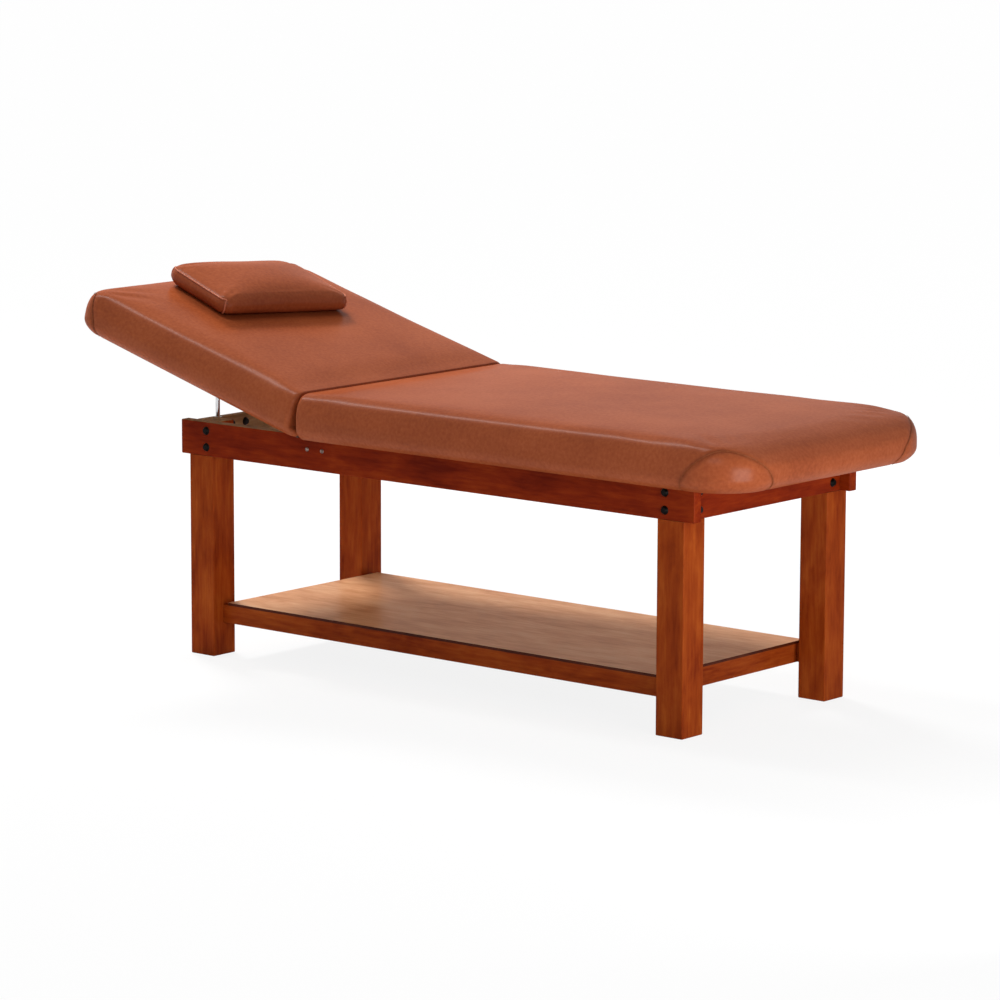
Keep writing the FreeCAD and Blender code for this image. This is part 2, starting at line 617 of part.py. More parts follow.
def pad_outline(height, joint_x, end_x, half_width, joint_corner, end_corner, sideways=0):
    """A closed outline at one height: lines with a round corner at each end of both sides."""
    turn = 1 if end_x > joint_x else -1
    diagonal = math.sqrt(2) / 2

    def point(x, y):
        return FreeCAD.Vector(x, y + sideways, height)

    def corner(x, y, radius, x_sign, y_sign, x_first):
        centre_x = x - x_sign * radius
        centre_y = y - y_sign * radius
        middle = point(centre_x + x_sign * radius * diagonal, centre_y + y_sign * radius * diagonal)
        on_side = point(centre_x, y)
        on_end = point(x, centre_y)
        start, finish = (on_end, on_side) if x_first else (on_side, on_end)
        return start, middle, finish

    corners = [
        corner(end_x, -half_width, end_corner, turn, -1, False),
        corner(end_x, half_width, end_corner, turn, 1, True),
        corner(joint_x, half_width, joint_corner, -turn, 1, False),
        corner(joint_x, -half_width, joint_corner, -turn, -1, True),
    ]
    edges = []
    for index, (start, middle, finish) in enumerate(corners):
        edges.append(Part.Arc(start, middle, finish).toShape())
        following = corners[(index + 1) % len(corners)][0]
        edges.append(Part.makeLine(finish, following))
    return Part.Wire(edges)


def cushion_levels(thick, bulge, edge, crown, tuck, rim):
    """Heights of a cushion's sections, each with its side inset and its share of the edge's rounding."""
    levels = []
    for share in ARC_SHARES:
        angle = math.pi / 2 * share
        drawn_in = (1 - math.sin(angle)) ** 2
        levels.append((bulge * math.sin(angle), tuck * drawn_in, "low", drawn_in))
    for share in ARC_SHARES:
        angle = math.pi / 2 * share
        levels.append((thick - edge + edge * math.sin(angle), edge * (1 - math.cos(angle)), "high",
                       1 - math.cos(angle)))
    for share in CROWN_SHARES:
        levels.append((thick + crown * (1 - (1 - share) ** 2), edge + rim * share, "crown", share))
    return levels


def cushion(joint_x, end_x, half_width, low, thick, bulge, edge, crown, tuck, rim, joint_edge, joint_tuck,
            joint_corner, end_corner, sideways=0):
    """A stuffed pad: drawn in at its base, widest above it, with rounded top edges and a crown."""
    turn = 1 if end_x > joint_x else -1
    wires = []
    for height, inset, zone, share in cushion_levels(thick, bulge, edge, crown, tuck, rim):
        joint_insets = {"low": joint_tuck * share, "high": joint_edge * share, "crown": joint_edge + rim * share}
        joint_inset = joint_insets[zone]
        wires.append(pad_outline(low + height, joint_x + turn * joint_inset, end_x - turn * inset,
                                 half_width - inset,
                                 max(joint_corner - joint_inset, joint_corner * CORNER_SHARE),
                                 max(end_corner - inset, end_corner * CORNER_SHARE), sideways))
    return Part.makeLoft(wires, True, True)


def soft_piece(label, shape, placement=None):
    item = doc.addObject("Part::Feature", label)
    item.Shape = shape
    if placement is not None:
        item.Placement = placement
    return node(label, item)


# Pads and pillow
pad_low = number("frame_top + board_thick + pad_seat_gap")
pad_top = number("pad_height + pad_crown")
joint = number(JOINT_X)
PAD_WORDS = {
    "half_width": f"{PAD_WIDTH} / 2",
    "thick": "pad_height",
    "bulge": "pad_bulge_height",
    "edge": "pad_edge_radius",
    "crown": "pad_crown",
    "tuck": "pad_bottom_tuck",
    "rim": "crown_rim",
    "joint_edge": "joint_edge_radius",
    "joint_tuck": "joint_bottom_tuck",
    "joint_corner": "joint_corner",
}
pad_sizes = {word: number(text) for word, text in PAD_WORDS.items()}
main_start = joint + number("main_joint_setback")
soft_piece("main_pad", cushion(main_start, number(PAD_FOOT), low=pad_low,
                               end_corner=number("foot_corner"), **pad_sizes))
head_start = joint - number("head_joint_setback")
soft_piece("head_pad", cushion(head_start, number(PAD_HEAD), low=pad_low,
                               end_corner=number("head_corner"), **pad_sizes), raise_head)
pillow_start = joint - number("pillow_from_axis")
pillow_middle = FreeCAD.Vector(pillow_start - number("pillow_depth / 2"), number("pillow_sideways"), 0)
pillow_turn = FreeCAD.Rotation(AXES["-z"], number("pillow_skew"))
skew = FreeCAD.Placement(FreeCAD.Vector(0, 0, 0), pillow_turn, pillow_middle)
soft_piece("pillow", cushion(pillow_start, pillow_start - number("pillow_depth"),
                             half_width=number("pillow_width / 2"),
                             low=pad_low + pad_top + number("pad_seat_gap"),
                             thick=number("pillow_height"), bulge=number("pillow_bulge_height"),
                             edge=number("pillow_edge_radius"), crown=number("pillow_crown"),
                             tuck=number("pillow_bottom_tuck"), rim=number("pillow_crown_rim"),
                             joint_edge=number("pillow_edge_radius"), joint_tuck=number("pillow_bottom_tuck"),
                             joint_corner=number("pillow_corner"), end_corner=number("pillow_corner"),
                             sideways=number("pillow_sideways")), raise_head.multiply(skew))

# Prop rods under the wear plates, and the knobs that lock them
slope = math.radians(tilt)
reach = number(f"{JOINT_X} - {ROD_X}")
plate_rise = reach * math.tan(slope) + number("knuckle_radius") / math.cos(slope)
dome_drop = number("rod_radius + rod_top_gap") / math.cos(slope)
rod_dome = hinge_axis.z + plate_rise - dome_drop
rod_low = number("frame_top - rod_hold")
print("rod travel in metres for each radian of tilt:",
      (reach / math.cos(slope) ** 2 + number("knuckle_radius - rod_radius - rod_top_gap")
       * math.sin(slope) / math.cos(slope) ** 2) / FreeCAD.Units.Quantity("1 m").Value)
for side, side_sign in SIDES.items():
    rod_y = f"(({side_sign}) * {ROD_Y})"
    stem = cylinder(f"rod_{side}_stem", "rod_radius", rod_dome - rod_low,
                    (ROD_X, rod_y, "frame_top - rod_hold"), "+z")
    dome = doc.addObject("Part::Sphere", f"rod_{side}_dome")
    bind(dome, Radius="rod_radius")
    place(dome, ROD_X, rod_y, rod_dome)
    node(f"prop_rod_{side}", fuse(f"prop_rod_{side}", [stem, dome]))

    node(f"knob_stud_{side}", cylinder(f"knob_stud_{side}", "knob_stud_radius",
                                       "knob_collar_length + end_rail_thick / 2 - rod_radius",
                                       (f"{HEAD_FACE} - knob_face_gap - knob_collar_length", rod_y, KNOB_Z), "+x"))
    collar = cylinder(f"knob_{side}_collar", "knob_collar_radius", "knob_collar_length",
                      (f"{HEAD_FACE} - knob_face_gap", rod_y, KNOB_Z), "-x")
    disc = cylinder(f"knob_{side}_disc", "knob_radius", "knob_thick",
                    (f"{HEAD_FACE} - knob_face_gap - knob_collar_length", rod_y, KNOB_Z), "-x")
    scallops = []
    for index in range(KNOB_SCALLOPS):
        angle = 2 * math.pi * index / KNOB_SCALLOPS
        across = f"({rod_y} + (knob_radius + knob_scallop_radius / 2) * ({math.cos(angle):.6f}))"
        up = f"({KNOB_Z} + (knob_radius + knob_scallop_radius / 2) * ({math.sin(angle):.6f}))"
        scallops.append(cylinder(f"knob_{side}_scallop_{index}", "knob_scallop_radius", "knob_thick + 2 * overrun",
                                 (f"{HEAD_FACE} - knob_face_gap - knob_collar_length - knob_thick - overrun",
                                  across, up), "+x"))
    star = cut(f"knob_{side}_star", disc, scallops)
    grip = fuse(f"knob_{side}_grip", [collar, star])
    room = cylinder(f"knob_{side}_room", "knob_stud_radius", "knob_collar_length + overrun",
                    (f"{HEAD_FACE} - knob_face_gap - knob_collar_length", rod_y, KNOB_Z), "+x")
    node(f"lock_knob_{side}", cut(f"lock_knob_{side}", grip, [room]))

doc.recompute()
for item in doc.Objects:
    if "Invalid" in item.State or "Error" in item.State:
        raise RuntimeError(f"{item.Label} failed: {item.State}")
os.makedirs("parts", exist_ok=True)
for item in nodes:
    if item.Shape.isNull() or not item.Shape.isValid() or not item.Shape.Solids:
        raise RuntimeError(f"{item.Label} has no valid shape")
    item.Shape.exportStep(f"parts/{item.Label}.step")
    print(item.Label, len(item.Shape.Solids), round(item.Shape.Volume))
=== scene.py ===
import json
import math

import bmesh
import bpy
import numpy as np
from mathutils import Euler, Matrix, Vector, noise
from mathutils.bvhtree import BVHTree
from mathutils.kdtree import KDTree


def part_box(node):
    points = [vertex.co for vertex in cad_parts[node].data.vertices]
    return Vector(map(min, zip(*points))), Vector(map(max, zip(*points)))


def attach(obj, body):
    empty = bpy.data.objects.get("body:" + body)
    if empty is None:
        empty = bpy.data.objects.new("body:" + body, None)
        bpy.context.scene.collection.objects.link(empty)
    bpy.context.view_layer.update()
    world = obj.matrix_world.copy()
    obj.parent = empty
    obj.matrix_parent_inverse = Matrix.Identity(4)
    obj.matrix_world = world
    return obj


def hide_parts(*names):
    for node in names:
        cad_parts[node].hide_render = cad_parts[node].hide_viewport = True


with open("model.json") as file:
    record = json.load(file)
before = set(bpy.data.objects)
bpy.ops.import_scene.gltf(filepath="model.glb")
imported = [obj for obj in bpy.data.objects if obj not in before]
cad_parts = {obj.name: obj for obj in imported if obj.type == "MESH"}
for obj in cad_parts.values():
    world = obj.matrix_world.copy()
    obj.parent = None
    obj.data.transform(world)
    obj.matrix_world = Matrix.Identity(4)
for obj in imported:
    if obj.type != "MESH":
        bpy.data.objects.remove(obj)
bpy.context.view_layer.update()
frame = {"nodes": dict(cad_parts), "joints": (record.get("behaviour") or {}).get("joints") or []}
nodes = frame["nodes"]
MM = 0.001


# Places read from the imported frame
def joint_named(name):
    return next(joint for joint in frame["joints"] if joint["name"] == name)


HINGE_AXIS = Vector(joint_named("head_tilt")["pos_m"])
PILLOW_UP = Vector(joint_named("pillow_lift")["axis"])
HEAD_TILT = math.atan2(PILLOW_UP.x, PILLOW_UP.z)
FRAME_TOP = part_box("side_rail_near")[1].z
RAISE_HEAD = (Matrix.Translation(HINGE_AXIS) @ Matrix.Rotation(HEAD_TILT, 4, "Y")
              @ Matrix.Translation(-HINGE_AXIS))


def flat_box(node):
    """Lowest and highest corner of a head section's node with the section laid flat."""
    lay_flat = RAISE_HEAD.inverted()
    corners = np.array([lay_flat @ vertex.co for vertex in nodes[node].data.vertices])
    return Vector(corners.min(0)), Vector(corners.max(0))


# Materials
def linear(colour):
    """An sRGB hex value as linear RGBA."""
    parts = [int(colour[start:start + 2], 16) / 255 for start in (0, 2, 4)]
    return tuple(p / 12.92 if p <= 0.04045 else ((p + 0.055) / 1.055) ** 2.4 for p in parts) + (1.0,)


def add(tree, kind, inputs=None, stops=(), **settings):
    """Adds a node with its settings and links. An input is a value or the socket that feeds it, and stops
    are the places and hex colours of a ramp."""
    node = tree.nodes.new(kind)
    for name, value in settings.items():
        setattr(node, name, value)
    for name, value in (inputs or {}).items():
        if isinstance(value, bpy.types.NodeSocket):
            tree.links.new(value, node.inputs[name])
        else:
            node.inputs[name].default_value = value
    if stops:
        elements = node.color_ramp.elements
        while len(elements) < len(stops):
            elements.new(1.0)
        for element, (place, colour) in zip(elements, stops):
            element.position, element.color = place, linear(colour)
    return node


def new_material(name):
    """A material with its node tree, its shader and the socket that gives a point's place in metres."""
    material = bpy.data.materials.new(name)
    material.use_nodes = True
    tree = material.node_tree
    return material, tree, tree.nodes["Principled BSDF"], add(tree, "ShaderNodeTexCoord").outputs["Object"]


def per_size(millimetres):
    """Texture scale at which one cell of the pattern measures the given size."""
    return 1 / (millimetres * MM)


def leatherette(name, dark, middle, light):
    """PU leather, a coated cloth embossed with a fine pebble: a soft broad sheen with a slightly broken edge.
    The pebble is about 1 mm on the real cover and is drawn at 2.4 mm so that it shows."""
    material, tree, shader, place = new_material(name)
    clouds = add(tree, "ShaderNodeTexNoise", {"Vector": place, "Scale": per_size(190), "Detail": 3.0})
    fine = add(tree, "ShaderNodeTexNoise", {"Vector": place, "Scale": per_size(7), "Detail": 4.0})
    mixed = add(tree, "ShaderNodeMath", {0: clouds.outputs["Fac"], 1: fine.outputs["Fac"]}, operation="ADD")
    halved = add(tree, "ShaderNodeMath", {0: mixed.outputs[0], 1: 0.5}, operation="MULTIPLY")
    tone = add(tree, "ShaderNodeValToRGB", {"Fac": halved.outputs[0]},
               stops=[(0.36, dark), (0.5, middle), (0.64, light)])
    # Painted shade: along the sewn seams the cover's colour is darkened towards 3A1A0E by the seam attribute
    seam = add(tree, "ShaderNodeAttribute", attribute_name="seam")
    shade = add(tree, "ShaderNodeMix", {"Factor": seam.outputs["Fac"], "A": tone.outputs["Color"],
                                       "B": linear("3A1A0E")},
                data_type="RGBA")
    tree.links.new(shade.outputs["Result"], shader.inputs["Base Color"])
    gloss = add(tree, "ShaderNodeMapRange", {"Value": fine.outputs["Fac"], "From Min": 0.3, "From Max": 0.7,
                                             "To Min": 0.46, "To Max": 0.56})
    tree.links.new(gloss.outputs["Result"], shader.inputs["Roughness"])
    pebble = add(tree, "ShaderNodeTexVoronoi", {"Vector": place, "Scale": per_size(2.4)}, feature="SMOOTH_F1")
    crease = add(tree, "ShaderNodeTexNoise", {"Vector": place, "Scale": per_size(38), "Detail": 2.0,
                                              "Distortion": 0.6})
    grain = add(tree, "ShaderNodeBump", {"Height": pebble.outputs["Distance"], "Strength": 0.25,
                                         "Distance": 0.35 * MM})
    soft = add(tree, "ShaderNodeBump", {"Height": crease.outputs["Fac"], "Strength": 0.35, "Distance": 1.2 * MM,
                                        "Normal": grain.outputs["Normal"]})
    tree.links.new(soft.outputs["Normal"], shader.inputs["Normal"])
    shader.inputs["IOR"].default_value = 1.5
    shader.inputs["Specular IOR Level"].default_value = 0.0
    shader.inputs["Coat Weight"].default_value = 0.22
    shader.inputs["Coat Roughness"].default_value = 0.26
    return material


GRAIN_SCALES = {"x": (1 / 12, 1, 1), "y": (1, 1 / 12, 1), "z": (1, 1, 1 / 12)}
BLOTCH_SCALES = {"x": (1 / 3, 1, 1), "y": (1, 1 / 3, 1), "z": (1, 1, 1 / 3)}
BARE_TIMBER = [(0.36, "6A5038"), (0.5, "806449"), (0.66, "957A5C")]


def timber(name, grain, tones, lacquer=0.06, bare_faces=(), edge_tone=None):
    """Rubberwood, planed, stained and lacquered: blotches where the stain sank in, fine straight grain with
    short pores, and a satin film. The pores are under 1 mm wide on the real timber and are drawn at 1.6 mm so
    that they show. Bare faces were left without stain."""
    material, tree, shader, place = new_material(name)
    stops = list(zip((0.36, 0.5, 0.66), tones))
    along = add(tree, "ShaderNodeMapping", {"Vector": place, "Scale": GRAIN_SCALES[grain]}).outputs["Vector"]
    wide = add(tree, "ShaderNodeMapping", {"Vector": place, "Scale": BLOTCH_SCALES[grain]}).outputs["Vector"]
    blotches = add(tree, "ShaderNodeTexNoise", {"Vector": wide, "Scale": per_size(48), "Detail": 4.0,
                                                "Roughness": 0.6, "Distortion": 0.4})
    streaks = add(tree, "ShaderNodeTexNoise", {"Vector": along, "Scale": per_size(7), "Detail": 5.0,
                                               "Roughness": 0.6, "Distortion": 0.2})
    pores = add(tree, "ShaderNodeTexNoise", {"Vector": along, "Scale": per_size(1.6), "Detail": 2.0})
    both = add(tree, "ShaderNodeMix", {"Factor": 0.4, "A": blotches.outputs["Fac"],
                                       "B": streaks.outputs["Fac"]}, data_type="FLOAT")
    tone = add(tree, "ShaderNodeValToRGB", {"Fac": both.outputs["Result"]}, stops=stops).outputs["Color"]
    pore_mask = add(tree, "ShaderNodeMapRange", {"Value": pores.outputs["Fac"], "From Min": 0.60,
                                                 "From Max": 0.72, "To Min": 0.0, "To Max": 0.35})
    colour = add(tree, "ShaderNodeMix", {"Factor": pore_mask.outputs["Result"], "A": tone,
                                         "B": linear(tones[0])}, data_type="RGBA").outputs["Result"]
    normal = add(tree, "ShaderNodeNewGeometry").outputs["Normal"]
    upward = add(tree, "ShaderNodeSeparateXYZ", {"Vector": normal}).outputs["Z"]
    masks = []
    if "inside" in bare_faces:
        level = add(tree, "ShaderNodeMapping", {"Vector": place, "Scale": (1, 1, 0)}).outputs["Vector"]
        outward = add(tree, "ShaderNodeVectorMath", {0: normal, 1: level}, operation="DOT_PRODUCT")
        inside = add(tree, "ShaderNodeMath", {0: outward.outputs["Value"], 1: -0.1}, operation="LESS_THAN")
        masks.append((inside, BARE_TIMBER))
    if "top" in bare_faces:
        top = add(tree, "ShaderNodeMath", {0: upward, 1: 0.5}, operation="GREATER_THAN")
        masks.append((top, BARE_TIMBER))
    if edge_tone:
        edge = add(tree, "ShaderNodeMath", {0: upward, 1: 0.5}, operation="LESS_THAN")
        masks.append((edge, [(0.4, edge_tone[0]), (0.6, edge_tone[1])]))
    for mask, mask_stops in masks:
        shown = add(tree, "ShaderNodeValToRGB", {"Fac": both.outputs["Result"]}, stops=mask_stops)
        colour = add(tree, "ShaderNodeMix", {"Factor": mask.outputs[0], "A": colour,
                                             "B": shown.outputs["Color"]}, data_type="RGBA").outputs["Result"]
    tree.links.new(colour, shader.inputs["Base Color"])
    film = add(tree, "ShaderNodeMapRange", {"Value": streaks.outputs["Fac"], "From Min": 0.3, "From Max": 0.7,
                                            "To Min": 0.42, "To Max": 0.56})
    tree.links.new(film.outputs["Result"], shader.inputs["Roughness"])
    bump = add(tree, "ShaderNodeBump", {"Height": pores.outputs["Fac"], "Strength": 0.2, "Distance": 0.2 * MM})
    tree.links.new(bump.outputs["Normal"], shader.inputs["Normal"])
    shader.inputs["IOR"].default_value = 1.5
    shader.inputs["Specular IOR Level"].default_value = 0.0
    shader.inputs["Coat Weight"].default_value = lacquer
    shader.inputs["Coat Roughness"].default_value = 0.25
    return material


def plywood(name):
    """Sanded birch plywood: pale, dull, with cloudy rotary-cut figure and dark sawn edges."""
    material, tree, shader, place = new_material(name)
    along = add(tree, "ShaderNodeMapping", {"Vector": place, "Scale": GRAIN_SCALES["x"]}).outputs["Vector"]
    figure = add(tree, "ShaderNodeTexNoise", {"Vector": along, "Scale": per_size(26), "Detail": 4.0,
                                              "Distortion": 1.2})
    tone = add(tree, "ShaderNodeValToRGB", {"Fac": figure.outputs["Fac"]},
               stops=[(0.3, "A8835A"), (0.5, "C4A176"), (0.7, "D8BC94")])
    normal = add(tree, "ShaderNodeNewGeometry").outputs["Normal"]
    upward = add(tree, "ShaderNodeSeparateXYZ", {"Vector": normal})
    steep = add(tree, "ShaderNodeMath", {0: upward.outputs["Z"]}, operation="ABSOLUTE")
    edge = add(tree, "ShaderNodeMath", {0: steep.outputs[0], 1: 0.5}, operation="LESS_THAN")
    colour = add(tree, "ShaderNodeMix", {"Factor": edge.outputs[0], "A": tone.outputs["Color"],
                                         "B": linear("4A3220")}, data_type="RGBA")
    tree.links.new(colour.outputs["Result"], shader.inputs["Base Color"])
    dull = add(tree, "ShaderNodeMapRange", {"Value": figure.outputs["Fac"], "To Min": 0.62, "To Max": 0.82})
    tree.links.new(dull.outputs["Result"], shader.inputs["Roughness"])
    return material


def metal(name, colour, worn, roughness, scratch_size):
    """Drawn or pressed metal: a bright film with fine scratches, a few millimetres apart, that break its
    reflections."""
    material, tree, shader, place = new_material(name)
    drawn = add(tree, "ShaderNodeMapping", {"Vector": place, "Scale": (1, 1, 1 / 6)}).outputs["Vector"]
    scratches = add(tree, "ShaderNodeTexNoise", {"Vector": drawn, "Scale": per_size(scratch_size),
                                                 "Detail": 4.0})
    tone = add(tree, "ShaderNodeValToRGB", {"Fac": scratches.outputs["Fac"]},
               stops=[(0.35, worn), (0.6, colour)])
    tree.links.new(tone.outputs["Color"], shader.inputs["Base Color"])
    rough = add(tree, "ShaderNodeMapRange", {"Value": scratches.outputs["Fac"], "From Min": 0.3,
                                             "From Max": 0.7, "To Min": roughness[0], "To Max": roughness[1]})
    tree.links.new(rough.outputs["Result"], shader.inputs["Roughness"])
    shader.inputs["Metallic"].default_value = 1.0
    return material


def moulded_plastic(name, dark, light, roughness):
    """Moulded plastic: an even colour with a fine spark-eroded grain."""
    material, tree, shader, place = new_material(name)
    grain = add(tree, "ShaderNodeTexNoise", {"Vector": place, "Scale": per_size(1.2), "Detail": 3.0})
    tone = add(tree, "ShaderNodeValToRGB", {"Fac": grain.outputs["Fac"]}, stops=[(0.35, dark), (0.65, light)])
    tree.links.new(tone.outputs["Color"], shader.inputs["Base Color"])
    rough = add(tree, "ShaderNodeMapRange", {"Value": grain.outputs["Fac"], "To Min": roughness - 0.08,
                                             "To Max": roughness + 0.08})
    tree.links.new(rough.outputs["Result"], shader.inputs["Roughness"])
    bump = add(tree, "ShaderNodeBump", {"Height": grain.outputs["Fac"], "Strength": 0.3, "Distance": 0.1 * MM})
    tree.links.new(bump.outputs["Normal"], shader.inputs["Normal"])
    return material


# The covers: warm brown with a soft sheen and sunk, darker seams with painted shade beside them, and a paler
# welt whose tone is a painted highlight
brown_leatherette = leatherette("pu_leather_brown", "8E4425", "9A4C2A", "A45430")
seam_leather = leatherette("pu_leather_seam", "7C3E20", "884828", "945230")
welt_leather_painted_highlight = leatherette("pu_leather_welt_painted_highlight", "B8664A", "C47458", "CE8066")
# The frame: legs and shelf rails in an orange stain, the upper rails in a deeper red one
ORANGE_STAIN = ("76280B", "903B12", "A64E1B")
RED_STAIN = ("621806", "7C250A", "90340F")
leg_timber = timber("orange_stained_rubberwood_z", "z", ORANGE_STAIN, bare_faces=("top",))
shelf_rail_timber = {axis: timber(f"orange_stained_rubberwood_{axis}", axis, ORANGE_STAIN) for axis in "xy"}
side_rail_timber = timber("red_stained_rubberwood_x", "x", RED_STAIN, bare_faces=("top",))
end_rail_timber = timber("red_stained_rubberwood_y", "y", RED_STAIN, bare_faces=("inside", "top"))
# A pale veneer under a glossier film, with dark edges; the board's pale tone is partly the veneer's own and
# partly a painted sheen, lifted above the veneer's colour
shelf_board = timber("veneered_shelf_board_painted_sheen", "x", ("BC845E", "CE9870", "DAAA84"), lacquer=0.15,
                     edge_tone=("40180C", "542412"))
bare_timber = timber("bare_rubberwood", "y", [tone for place, tone in BARE_TIMBER], lacquer=0.0)
birch_plywood = plywood("birch_plywood")
# Fittings: a mirror-bright rod, near-black bolts, grey screws and hinges, yellow inserts
chrome = metal("chrome_plated_rod", "D8D8DA", "B4B6BA", (0.06, 0.14), 3)
black_oxide = metal("black_oxide_steel", "1C1A19", "0C0B0B", (0.32, 0.5), 2)
dull_zinc = metal("dull_zinc_plated_screw", "8E7A72", "5A4A44", (0.3, 0.45), 2)
zinc = metal("zinc_plated_steel", "B8B6B0", "8E8C88", (0.25, 0.42), 3)
brass = metal("turned_brass", "C49A4A", "A07A34", (0.25, 0.4), 3)
# Mouldings: a dull black and a waxy white
knob_plastic = moulded_plastic("black_nylon_knob", "141414", "222222", 0.5)
nylon = moulded_plastic("white_nylon_plate", "D6D4CE", "E4E2DC", 0.45)

NODE_FINISHES = {
    leg_timber: ["leg_head_near", "leg_head_far", "leg_foot_near", "leg_foot_far"],
    side_rail_timber: ["side_rail_near", "side_rail_far"],
    end_rail_timber: ["end_rail_head", "end_rail_foot"],
    shelf_rail_timber["x"]: ["shelf_rail_near", "shelf_rail_far"],
    shelf_rail_timber["y"]: ["shelf_end_rail_head", "shelf_end_rail_foot", "hinge_cross_rail",
                             "main_cross_rail"],
    bare_timber: ["shelf_bearer", "shelf_dowels"],
    shelf_board: ["shelf_panel"],
    birch_plywood: ["main_board", "head_board"],
    chrome: ["prop_rod_near", "prop_rod_far"],
    black_oxide: ["frame_bolts", "head_rail_screws"],
    dull_zinc: ["cross_rail_screws"],
    zinc: ["board_screws", "hinge_leaves_frame", "hinge_leaves_head", "hinge_pins",
           "hinge_screws_frame", "hinge_screws_head", "rod_bushes", "knob_stud_near", "knob_stud_far"],
    brass: ["leg_inserts"],
    knob_plastic: ["lock_knob_near", "lock_knob_far"],
    nylon: ["wear_plates"],
}
for finish, names in NODE_FINISHES.items():
    for name in names:
        mesh = nodes[name].data
        mesh.materials.clear()
        mesh.materials.append(finish)


# Stuffed pads
SIDE_STEPS = 150
END_STEPS = 90
CORNER_STEPS = 40
QUARTER = math.pi / 2
# A corner's radius shrinks with the inset, but not below this share
CORNER_SHARE = 0.65
UNDERSIDE_ROWS, HEM_ROWS, TOP_ROWS = 5, 3, 22
# How much of a pad's shorter half the closing rows take up before they meet in a line
SPINE_SHARE = 0.86


def outline(joint_x, end_x, half_width, joint_corner, end_corner):
    """Points round a pad's plan, from the near joint corner along the near side and back: (n, 2)."""
    turn = 1 if end_x > joint_x else -1
    points = []

    def run(start, finish, steps):
        for step in range(steps):
            share = step / steps
            points.append((start[0] + (finish[0] - start[0]) * share,
                           start[1] + (finish[1] - start[1]) * share))

    def bend(centre, radius, start):
        for step in range(CORNER_STEPS):
            angle = start + QUARTER * step / CORNER_STEPS
            points.append((centre[0] + turn * radius * math.cos(angle),
                           centre[1] + radius * math.sin(angle)))

    near, far = -half_width, half_width
    joint_in, end_in = joint_x + turn * joint_corner, end_x - turn * end_corner
    run((joint_in, near), (end_in, near), SIDE_STEPS)
    bend((end_in, near + end_corner), end_corner, -QUARTER)
    run((end_x, near + end_corner), (end_x, far - end_corner), END_STEPS)
    bend((end_in, far - end_corner), end_corner, 0)
    run((end_in, far), (joint_in, far), SIDE_STEPS)
    bend((joint_in, far - joint_corner), joint_corner, QUARTER)
    run((joint_x, far - joint_corner), (joint_x, near + joint_corner), END_STEPS)
    bend((joint_in, near + joint_corner), joint_corner, 2 * QUARTER)
    return np.array(points)


def smooth(share):
    """A share from 0 to 1 with a soft start and end."""
    share = np.clip(share, 0, 1)
    return share * share * (3 - 2 * share)


class Pad:
    """One pad laid flat: its plan, and its profile as rows of height with the insets of the sides, the joint
    end and the free end."""

    def __init__(self, joint_x, end_x, half_width, joint_corner, end_corner, profile, crown, flatness):
        self.joint_x, self.end_x, self.half_width = joint_x, end_x, half_width
        self.joint_corner, self.end_corner = joint_corner, end_corner
        self.profile, self.crown, self.flatness = profile, crown, flatness
        self.turn = 1 if end_x > joint_x else -1

    def row(self, height, side, joint, end):
        plan = outline(self.joint_x + self.turn * joint, self.end_x - self.turn * end, self.half_width - side,
                       max(self.joint_corner - joint, CORNER_SHARE * self.joint_corner),
                       max(self.end_corner - end, CORNER_SHARE * self.end_corner))
        return np.column_stack([plan, np.full(len(plan), height)])

    def rows(self):
        """All rows of points, from the bottom's middle round the sides to the top's middle."""
        rows = [self.row(*level) for level in self.profile]
        underside = self.closing_rows(rows[0], UNDERSIDE_ROWS, 0.0)[::-1]
        return underside + rows + self.closing_rows(rows[-1], TOP_ROWS, self.crown)

    def closing_rows(self, rim, steps, crown):
        """Rows that draw in from the rim to the line along the pad's middle and rise to the crown."""
        long_half = np.ptp(rim[:, 0]) / 2
        middle = rim[:, 0].min() + long_half
        wide_half = rim[:, 1].max()
        straight = long_half - SPINE_SHARE * wide_half if long_half > wide_half else 0.0
        across = wide_half - SPINE_SHARE * long_half if wide_half > long_half else 0.0
        spine = np.column_stack([np.clip(rim[:, 0], middle - straight, middle + straight),
                                 np.clip(rim[:, 1], -across, across), rim[:, 2]])
        rows = []
        for step in range(1, steps + 1):
            row = rim + (spine - rim) * (step / steps)
            along = 1 - np.abs((row[:, 0] - middle) / long_half) ** (self.flatness * 1.5)
            over = 1 - np.abs(row[:, 1] / wide_half) ** self.flatness
            row[:, 2] += crown * np.clip(along * over, 0, 1) ** 1.5
            rows.append(row)
        return rows

    def insets_at(self, height):
        """Insets of the sides and of the free end at a height of the outer skin, above the hem's rows."""
        outer = np.array(self.profile[HEM_ROWS:])
        return np.interp(height, outer[:, 0], outer[:, 1]), np.interp(height, outer[:, 0], outer[:, 3])

    def on_corner(self, side, distance, height):
        """Point on the skin of a free corner, a distance round from the corner's middle."""
        side_inset, end_inset = self.insets_at(height)
        radius = max(self.end_corner - end_inset, CORNER_SHARE * self.end_corner)
        half_arc = self.end_corner * QUARTER / 2
        bent = np.clip(distance, -half_arc, half_arc)
        angle = QUARTER / 2 + bent / self.end_corner
        out = np.array([self.turn * math.sin(angle), side * math.cos(angle)])
        along = np.array([self.turn * math.cos(angle), -side * math.sin(angle)])
        centre = np.array([self.end_x - self.turn * (end_inset + radius),
                           side * (self.half_width - side_inset - radius)])
        return np.append(centre + out * radius + along * (distance - bent), height)


